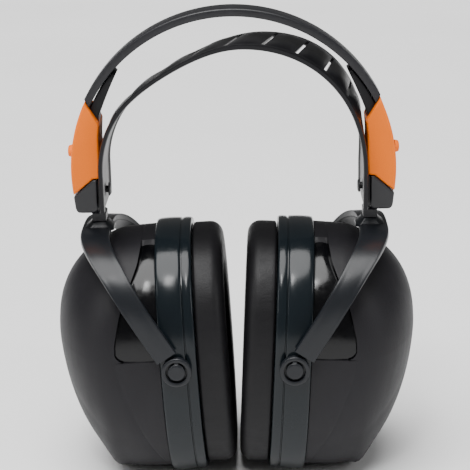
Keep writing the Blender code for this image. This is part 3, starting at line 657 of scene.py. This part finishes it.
def make_guide(name, side):
    """A bar that thins towards its rounded, slightly bent upper end."""
    outer = BAND_INNER - GUIDE_GAP
    rings = []
    steps = 24
    for i in range(steps + 1):
        share = i / steps
        inner = GUIDE_INNER + GUIDE_THINNING * share**1.6
        into_end = max(0.0, share - (1.0 - GUIDE_ROUND_END)) / GUIDE_ROUND_END
        half = GUIDE_HALF * math.sqrt(1.0 - 0.8 * into_end**2)
        ring = []
        for radius, y in rounded_rectangle(inner, outer, half, GUIDE_CORNER, 3):
            low = cover_end_angle(radius) + GUIDE_END_GAP
            ring.append(polar(radius, low + (GUIDE_TOP_ANGLE - low) * share, side, y))
        rings.append(ring)
    item = loft_object(f"guide_{name}", rings, STRAP)
    settle(item, f"side_{name}", "band_black", f"stem_guide_{name}")


# ---------------------------------------------------------------- yoke


YOKE_POWER = 3.4
YOKE_HALF = 46.9 * MM
YOKE_CROWN_Z = 109.8 * MM
YOKE_SLOPE = 0.6445
YOKE_SHIFT = 3.3 * MM
YOKE_THICK = 3.0 * MM
YOKE_LIMIT = math.radians(88.3)
ARM_WIDTH = 9.6 * MM
CROWN_EXTRA = 3.1 * MM
KNUCKLE_X = 59.0 * MM
EYE_INSIDE = (YOKE_HALF - YOKE_THICK / 2) / MM

# Distance out from the arm's inner face and radius, in millimetres, round the eye's raised ring
EYE_PROFILE = (
    (0.0, 4.65), (0.0, 6.0), (0.3, 6.3), (2.7, 6.4), (3.05, 6.15), (3.2, 5.7), (3.2, 5.0), (3.0, 4.65),
)

# Height over the crown, half width and half depth, in millimetres, up the knuckle
KNUCKLE_LEVELS = ((-1.2, 6.4, 6.4), (0.0, 6.2, 6.2), (0.6, 5.4, 5.8), (2.0, 3.9, 5.1), (2.6, 3.4, 4.8))
KNUCKLE_CORNERS = (
    (-1, -0.7), (-0.7, -1), (0.7, -1), (1, -0.7), (1, 0.7), (0.7, 1), (-0.7, 1), (-1, 0.7),
)


def yoke_path(turn):
    """The right yoke's middle line: 0 at the crown, a quarter turn at each pivot."""
    power = 2.0 / YOKE_POWER
    rise = YOKE_CROWN_Z - PIVOT.z
    y = YOKE_HALF * math.copysign(abs(math.sin(turn)) ** power, math.sin(turn))
    z = PIVOT.z + rise * abs(math.cos(turn)) ** power
    x = PIVOT.x + YOKE_SLOPE * (z - PIVOT.z) + YOKE_SHIFT * abs(math.cos(turn)) ** 6
    return Vector((x, y, z))


def yoke_normal(turn):
    power = 2.0 - 2.0 / YOKE_POWER
    y = math.copysign(abs(math.sin(turn)) ** power, math.sin(turn)) / YOKE_HALF
    z = abs(math.cos(turn)) ** power / (YOKE_CROWN_Z - PIVOT.z)
    return Vector((0.0, y, z)).normalized()


def yoke_section(half):
    """(across, outward) points: a low flat face with a raised lip along both edges."""
    t = YOKE_THICK / 2
    return (
        (half - 0.9 * MM, -t),
        (half - 0.2 * MM, -t + 0.3 * MM),
        (half, -t + 1.0 * MM),
        (half, t - 0.7 * MM),
        (half - 0.25 * MM, t - 0.15 * MM),
        (half - 0.8 * MM, t),
        (half - 1.3 * MM, t - 0.05 * MM),
        (half * 0.5, t + 0.10 * MM),
        (0.0, t + 0.16 * MM),
        (-half * 0.5, t + 0.10 * MM),
        (-half + 1.3 * MM, t - 0.05 * MM),
        (-half + 0.8 * MM, t),
        (-half + 0.25 * MM, t - 0.15 * MM),
        (-half, t - 0.7 * MM),
        (-half, -t + 1.0 * MM),
        (-half + 0.2 * MM, -t + 0.3 * MM),
        (-half + 0.9 * MM, -t),
    )


def make_yoke(name, side):
    """The forked bow, an eye round each pivot and the knuckle under the stalk."""
    bm = bmesh.new()
    rings = []
    steps = 96
    for i in range(steps + 1):
        turn = -YOKE_LIMIT + 2 * YOKE_LIMIT * i / steps
        tangent = (yoke_path(turn + 0.006) - yoke_path(turn - 0.006)).normalized()
        normal = yoke_normal(turn)
        along = tangent.cross(normal).normalized()
        share = abs(math.cos(turn)) ** 4
        half = (ARM_WIDTH + CROWN_EXTRA * share) / 2
        centre = yoke_path(turn)
        ring = [centre + along * a + normal * b for a, b in yoke_section(half)]
        rings.append([Vector((side * p.x, p.y, p.z)) for p in ring])
    add_loft(bm, rings)
    centre = Vector((side * PIVOT.x, 0.0, PIVOT.z))
    for facing in (-1, 1):
        rings = []
        for out, radius in EYE_PROFILE:
            y = facing * (EYE_INSIDE + out)
            ring = [Vector((radius * math.cos(t), y, radius * math.sin(t))) * MM for t in around(48)]
            rings.append([centre + point for point in ring])
        add_loft(bm, rings, closed=True)
        disc = ((EYE_INSIDE * MM, 4.7 * MM), ((EYE_INSIDE + 0.7) * MM, 4.7 * MM))
        turned(bm, centre, (0, facing, 0), disc, 48)
    item = mesh_object(f"fork_{name}", bm, YOKE, smooth=40.0)
    settle(item, f"stem_{name}", "yoke_grey", f"yoke_{name}")
    make_boss(name, side)


def make_boss(name, side):
    """The faceted knuckle between the yoke's crown and the stalk."""
    crown = Vector((side * KNUCKLE_X, 0.0, YOKE_CROWN_Z + YOKE_THICK / 2))
    rings = []
    for up, half_x, half_y in KNUCKLE_LEVELS:
        ring = [Vector((side * a * half_x, b * half_y, up)) * MM for a, b in KNUCKLE_CORNERS]
        rings.append([crown + point for point in ring])
    item = bevelled(loft_object(f"knuckle_{name}", rings, YOKE), 0.25 * MM, 2)
    settle(item, f"stem_{name}", "yoke_grey")


# ---------------------------------------------------------------- ear cup


def cup_point(side, depth, y, z):
    """World place of a cup point: millimetres outwards, forwards and above the cup's middle."""
    outward = depth - PIVOT_DEPTH
    up = z - PIVOT_RISE
    x = PIVOT.x + (outward * math.cos(TILT) + up * math.sin(TILT)) * MM
    height = PIVOT.z + (up * math.cos(TILT) - outward * math.sin(TILT)) * MM
    return Vector((side * x, y * MM, max(height, 0.0)))


def oval_at(turn, height, width):
    """y and z of a superellipse at a turn from its top, front first."""
    exponent = 2.0 / OVAL_POWER
    y = -width / 2 * math.copysign(abs(math.sin(turn)) ** exponent, math.sin(turn))
    z = height / 2 * math.copysign(abs(math.cos(turn)) ** exponent, math.cos(turn))
    return y, z


def oval_rings(side, profile, points):
    """Rings of an oval sweep; profile lists (depth, height, width)."""
    rings = []
    for depth, height, width in profile:
        ovals = [oval_at(turn, height, width) for turn in around(points)]
        rings.append([cup_point(side, depth, y, z) for y, z in ovals])
    return rings


# Depth, and what is added to the rim's full height and width, round its section
RIM_SECTION = (
    (13.5, -15.0), (13.5, -4.4), (13.6, -2.0), (13.9, -1.2), (14.4, -0.8), (15.6, -0.55), (16.8, -0.65),
    (17.5, -0.95), (17.7, -2.1), (18.1, -2.1), (18.2, -1.1), (18.5, -0.7), (19.2, -0.42), (20.5, -0.2),
    (22.0, -0.05), (23.6, 0.0), (25.2, -0.05), (26.8, -0.2), (28.0, -0.45), (28.7, -0.9), (29.0, -1.8),
    (29.0, -15.0),
)


def make_rim(name, side):
    """A broad band with a fine groove and bead, and a narrower strip beside the cushion."""
    profile = [(depth, RIM_HEIGHT + grow, RIM_HEIGHT * DEPTH_RATIO + grow) for depth, grow in RIM_SECTION]
    item = loft_object(f"rim_{name}", oval_rings(side, profile, 128), RIM, closed=True, smooth=45.0)
    settle(item, f"cup_{name}", "rim_slate", f"cup_rim_{name}")


def read_knots(value, knots):
    """Straight-line reading between (value, result) knots, listed from the highest value."""
    for (a, ra), (b, rb) in zip(knots, knots[1:]):
        if a >= value >= b:
            return ra + (rb - ra) * (a - value) / (a - b)
    return knots[0][1] if value > knots[0][0] else knots[-1][1]


# Height over the pivot, and the depth where the cup's flat cheek ends there
CHEEK = (
    (53.0, 34.7), (47.0, 35.3), (42.0, 36.6), (36.0, 39.4), (30.0, 42.3), (23.0, 45.0),
    (12.0, 47.8), (3.5, 48.5), (-4.0, 47.7), (-13.0, 45.1), (-21.0, 42.7), (-29.5, 39.9),
    (-38.0, 36.6), (-45.0, 33.5), (-51.0, 30.9), (-59.0, 30.2),
)
RECESS_LOW = 3.5
RECESS_HIGH = 48.5
RECESS_CORNER = 4.5
RECESS_DEPTH = 1.6
RECESS_CROWN = 0.45
LINE_DEPTH = 0.16
LINE_HALF = 0.45
FLAT_ROWS = 8
DOME_ROWS = 34
CHIN = 0.075
CHIN_AT = 0.41
CHIN_REACH = 0.12
CHEEK_TAPER = 0.0005


def recess_corner(height):
    """How far the recess's outer edge draws back near its lower, rounded corner."""
    up = height - RECESS_LOW
    if not 0.0 <= up < RECESS_CORNER:
        return 0.0
    return RECESS_CORNER - math.sqrt(RECESS_CORNER**2 - (RECESS_CORNER - up) ** 2)


def shell_surface(side, turn, row, recessed):
    """A point of the cup's skin: flat cheek, fine line at the cheek's end, then the dome."""
    y0, z0 = oval_at(turn, SHELL_HEIGHT, SHELL_HEIGHT * DEPTH_RATIO)
    height = z0 - PIVOT_RISE
    edge = read_knots(height, CHEEK)
    crease = edge - recess_corner(height) if recessed else edge
    start = max(edge + 2 * LINE_HALF, DOME_START)
    sunk = 0.0
    share = 0.0
    if row <= FLAT_ROWS:
        depth = SHELL_START + (crease - LINE_HALF - SHELL_START) * row / FLAT_ROWS
        sunk = RECESS_DEPTH - RECESS_CROWN * math.sin(math.pi * row / FLAT_ROWS) if recessed else 0.0
    elif row == FLAT_ROWS + 1:
        depth = crease
        sunk = 0.0 if recessed else LINE_DEPTH
    elif row == FLAT_ROWS + 2:
        depth = crease + LINE_HALF
    else:
        share = math.sin(math.pi / 2 * (row - FLAT_ROWS - 2) / DOME_ROWS)
        depth = start + (DOME_END - start) * share
    taper = 1.0 - CHEEK_TAPER * (min(depth, start) - SHELL_START)
    close = (taper - sunk * 2 / SHELL_HEIGHT) * math.sqrt(max(0.0, 1.0 - share**2))
    over = max(0.0, (depth - DOME_START) / (DOME_END - DOME_START))
    chin = CHIN * math.exp(-(((over - CHIN_AT) / CHIN_REACH) ** 2))
    return cup_point(side, depth, y0 * close, z0 * close + chin * min(0.0, z0) + DOME_RISE * over**3)


def recess_turns():
    """Even turns round the oval, with extra ones along the recess's lower and upper edges."""
    turns = around(120)
    heights = [RECESS_LOW + up for up in (-0.3, 0.1, 0.4, 1.0, 2.0, 3.2)]
    for height in (*heights, RECESS_HIGH - 0.4, RECESS_HIGH + 0.4):
        share = ((height + PIVOT_RISE) / (SHELL_HEIGHT / 2)) ** (OVAL_POWER / 2)
        turns += [math.acos(share), 2 * math.pi - math.acos(share)]
    return sorted(turns)


def make_shell(name, side):
    """The domed cup with its dished, glossy recess front and rear, and a lip inside the rim."""
    turns = recess_turns()
    bm = bmesh.new()
    flags = []
    for turn in turns:
        _, z0 = oval_at(turn, SHELL_HEIGHT, SHELL_HEIGHT * DEPTH_RATIO)
        flags.append(RECESS_LOW < z0 - PIVOT_RISE < RECESS_HIGH)
    grid = []
    for row in range(FLAT_ROWS + 2 + DOME_ROWS):
        grid.append([bm.verts.new(shell_surface(side, t, row, flag)) for t, flag in zip(turns, flags)])
    count = len(turns)
    for row in range(len(grid) - 1):
        for i in range(count):
            j = (i + 1) % count
            face = bm.faces.new((grid[row][i], grid[row][j], grid[row + 1][j], grid[row + 1][i]))
            if row <= FLAT_ROWS and flags[i] and flags[j]:
                face.material_index = 1
    bm.faces.new(grid[-1])
    inner = []
    for turn in turns:
        y, z = oval_at(turn, SHELL_HEIGHT - 2 * SHELL_WALL, SHELL_HEIGHT * DEPTH_RATIO - 2 * SHELL_WALL)
        inner.append(bm.verts.new(cup_point(side, SHELL_START, y, z)))
    for i in range(count):
        j = (i + 1) % count
        bm.faces.new((grid[0][i], grid[0][j], inner[j], inner[i]))
    item = mesh_object(f"shell_{name}", bm, SHELL, RECESS, smooth=34.0)
    settle(item, f"cup_{name}", "shell_charcoal", f"cup_shell_{name}")


# Height over the pin's seat and radius, in millimetres, across its head
PIN_SEAT = EYE_INSIDE + 2.2
PIN_HEAD = ((-1.6, 3.6), (0.45, 3.7), (0.75, 3.55), (0.95, 3.1), (1.0, 2.2), (0.9, 0.6))
PIN_KEY = ((-0.8, 0.0), (0.8, 0.0), (0.8, 0.7), (-0.8, 0.7))
KEY_ENDS = (2.8, 4.3)


def make_pins(name, side):
    """A low round head with a key above it, front and rear."""
    centre = Vector((side * PIVOT.x, 0.0, PIVOT.z))
    for label, facing in (("front", -1), ("rear", 1)):
        bm = bmesh.new()
        head = [((PIN_SEAT + up) * MM, radius * MM) for up, radius in PIN_HEAD]
        turned(bm, centre, (0, facing, 0), head)
        key = []
        for z in KEY_ENDS:
            key.append([centre + Vector((x, facing * (PIN_SEAT + up), z)) * MM for x, up in PIN_KEY])
        add_loft(bm, key)
        item = mesh_object(f"pin_{label}_{name}", bm, YOKE, smooth=40.0)
        settle(item, f"cup_{name}", "yoke_grey", f"pivot_pin_{label}_{name}")


def cushion_profile():
    """(depth, height, width) round the cushion's section, a little under full size."""
    height, hole, radius = CUSHION_HEIGHT, HOLE_HEIGHT, CUSHION_ROUND
    width, hole_width = height * DEPTH_RATIO, hole * HOLE_RATIO
    quarter = [math.pi / 2 * i / 8 for i in range(9)]
    profile = []
    for t in quarter:
        shrink = 2 * radius * (1.0 - math.cos(t))
        profile.append((CUSHION_FACE + radius * (1.0 - math.sin(t)), height - shrink, width - shrink))
    for i in range(1, 5):
        rise = (hole + 2 * radius - (height - 2 * radius)) * i / 5
        run = (hole_width + 2 * radius - (width - 2 * radius)) * i / 5
        profile.append((CUSHION_FACE, height - 2 * radius + rise, width - 2 * radius + run))
    for t in quarter:
        grow = 2 * radius * (1.0 - math.sin(t))
        profile.append((CUSHION_FACE + radius * (1.0 - math.cos(t)), hole + grow, hole_width + grow))
    profile.append((10.0, hole, hole_width))
    for i in range(5):
        rise, run = (height - hole) * i / 5, (width - hole_width) * i / 5
        profile.append((CUSHION_TOP, hole + rise, hole_width + run))
    profile.append((CUSHION_TOP, height - 0.6, width - 0.6))
    profile += [(12.6, height, width), (9.5, height, width)]
    return profile


def swollen(item, side):
    """A short pressure simulation with its movement capped, held within its own depth."""
    before = [v.co.copy() for v in item.data.vertices]
    cloth = item.modifiers.new("cloth", "CLOTH")
    cloth.settings.use_pressure = True
    cloth.settings.uniform_pressure_force = SWELL_PRESSURE
    cloth.settings.effector_weights.gravity = 0.0
    scene = bpy.context.scene
    for number in range(1, SWELL_FRAMES + 1):
        scene.frame_set(number)
    applied(item)
    scene.frame_set(1)
    for vertex, old in zip(item.data.vertices, before):
        move = vertex.co - old
        if move.length > SWELL_CAP:
            vertex.co = old + move * (SWELL_CAP / move.length)
    axis = Vector((side * math.cos(TILT), 0.0, -math.sin(TILT)))
    face = cup_point(side, 0.05, 0.0, 0.0)
    back = cup_point(side, CUSHION_TOP, 0.0, 0.0)
    for vertex in item.data.vertices:
        low = (vertex.co - face).dot(axis)
        if low < 0.0:
            vertex.co -= axis * low
        high = (vertex.co - back).dot(axis)
        if high > 0.0:
            vertex.co -= axis * high
    smooth = item.modifiers.new("smooth", "SUBSURF")
    smooth.levels = 1
    smooth.render_levels = 1
    applied(item)
    item.data.shade_smooth()


def make_cushion(name, side):
    rings = oval_rings(side, cushion_profile(), 96)
    item = loft_object(f"cushion_{name}", rings, VINYL, closed=True)
    swollen(item, side)
    settle(item, f"cup_{name}", "cushion_black", f"ear_cushion_{name}")


# ---------------------------------------------------------------- carried-over nodes


def dress_nodes(name):
    """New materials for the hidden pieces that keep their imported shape."""
    for node, material in (
        (f"cushion_plate_{name}", PLATE),
        (f"foam_liner_{name}", FOAM),
        (f"detent_spring_{name}", STEEL),
        (f"strap_stud_{name}", HOUSING),
        (f"slide_stem_{name}", HOUSING),
    ):
        item = frame["nodes"][node]
        item.data.materials.clear()
        item.data.materials.append(material)


# ---------------------------------------------------------------- stage


FLOOR_HALF = 30.0
FLOOR_DROP = 0.05 * MM
WORLD_STRENGTH = 0.16
OVERHEAD_POWER = 5.2
OVERHEAD_SPREAD = math.radians(50.0)
BOX_POWER = 2.6
STRIP_POWER = 3.0


def area_light(name, place, aim, size, power):
    """A rectangular lamp of (width, height), turned towards a place."""
    data = bpy.data.lights.new(name, "AREA")
    data.energy = power
    data.shape = "RECTANGLE"
    data.size, data.size_y = size
    light = bpy.data.objects.new(name, data)
    light.location = place
    light.rotation_euler = (Vector(aim) - Vector(place)).to_track_quat("-Z", "Y").to_euler()
    bpy.context.scene.collection.objects.link(light)


def make_stage():
    bm = bmesh.new()
    bmesh.ops.create_grid(bm, x_segments=8, y_segments=8, size=FLOOR_HALF)
    n = Nodes("studio_floor")
    patch = n.noise(3.0)
    colour = n.ramp(patch, ((0.3, (0.90, 0.90, 0.90)), (0.7, (0.93, 0.93, 0.93))))
    floor_material = n.finish(colour, n.span(patch, 0.7, 0.8))
    floor = mesh_object("floor", bm, floor_material)
    floor.location.z = -FLOOR_DROP
    world = bpy.data.worlds.new("studio")
    world.use_nodes = True
    background = world.node_tree.nodes["Background"]
    background.inputs["Color"].default_value = (1.0, 1.0, 1.0, 1.0)
    background.inputs["Strength"].default_value = WORLD_STRENGTH
    bpy.context.scene.world = world
    data = bpy.data.lights.new("overhead", "SUN")
    data.energy = OVERHEAD_POWER
    data.angle = OVERHEAD_SPREAD
    overhead = bpy.data.objects.new("overhead", data)
    overhead.rotation_euler = (math.radians(14.0), math.radians(-8.0), 0.0)
    bpy.context.scene.collection.objects.link(overhead)
    area_light("front_box", (-0.12, -0.70, 0.95), (0.0, 0.0, 0.10), (0.15, 0.20), BOX_POWER)
    for name, side in SIDES.items():
        area_light(f"{name}_strip", (side * 0.95, -0.60, 0.60), (0.0, 0.0, 0.08), (0.16, 0.6), STRIP_POWER)


def make_camera():
    data = bpy.data.cameras.new("camera")
    data.lens = CAMERA_LENS
    data.sensor_width = 36.0
    data.clip_start = 0.01
    camera = bpy.data.objects.new("camera", data)
    away = Vector(
        (
            math.sin(CAMERA_AZIMUTH) * math.cos(CAMERA_ELEVATION),
            -math.cos(CAMERA_AZIMUTH) * math.cos(CAMERA_ELEVATION),
            math.sin(CAMERA_ELEVATION),
        )
    )
    place = CAMERA_TARGET + away * CAMERA_DISTANCE
    look = (CAMERA_TARGET - place).to_track_quat("-Z", "Y").to_matrix().to_4x4()
    camera.matrix_world = Matrix.Translation(place) @ look @ Matrix.Rotation(CAMERA_ROLL, 4, "Z")
    bpy.context.scene.collection.objects.link(camera)
    bpy.context.scene.camera = camera


make_camera()
make_headband()
make_strap()
for side_name, side_sign in SIDES.items():
    make_cover(side_name, side_sign)
    make_housing(side_name, side_sign)
    make_guide(side_name, side_sign)
    make_yoke(side_name, side_sign)
    make_shell(side_name, side_sign)
    make_rim(side_name, side_sign)
    make_pins(side_name, side_sign)
    make_cushion(side_name, side_sign)
    dress_nodes(side_name)
make_stage()
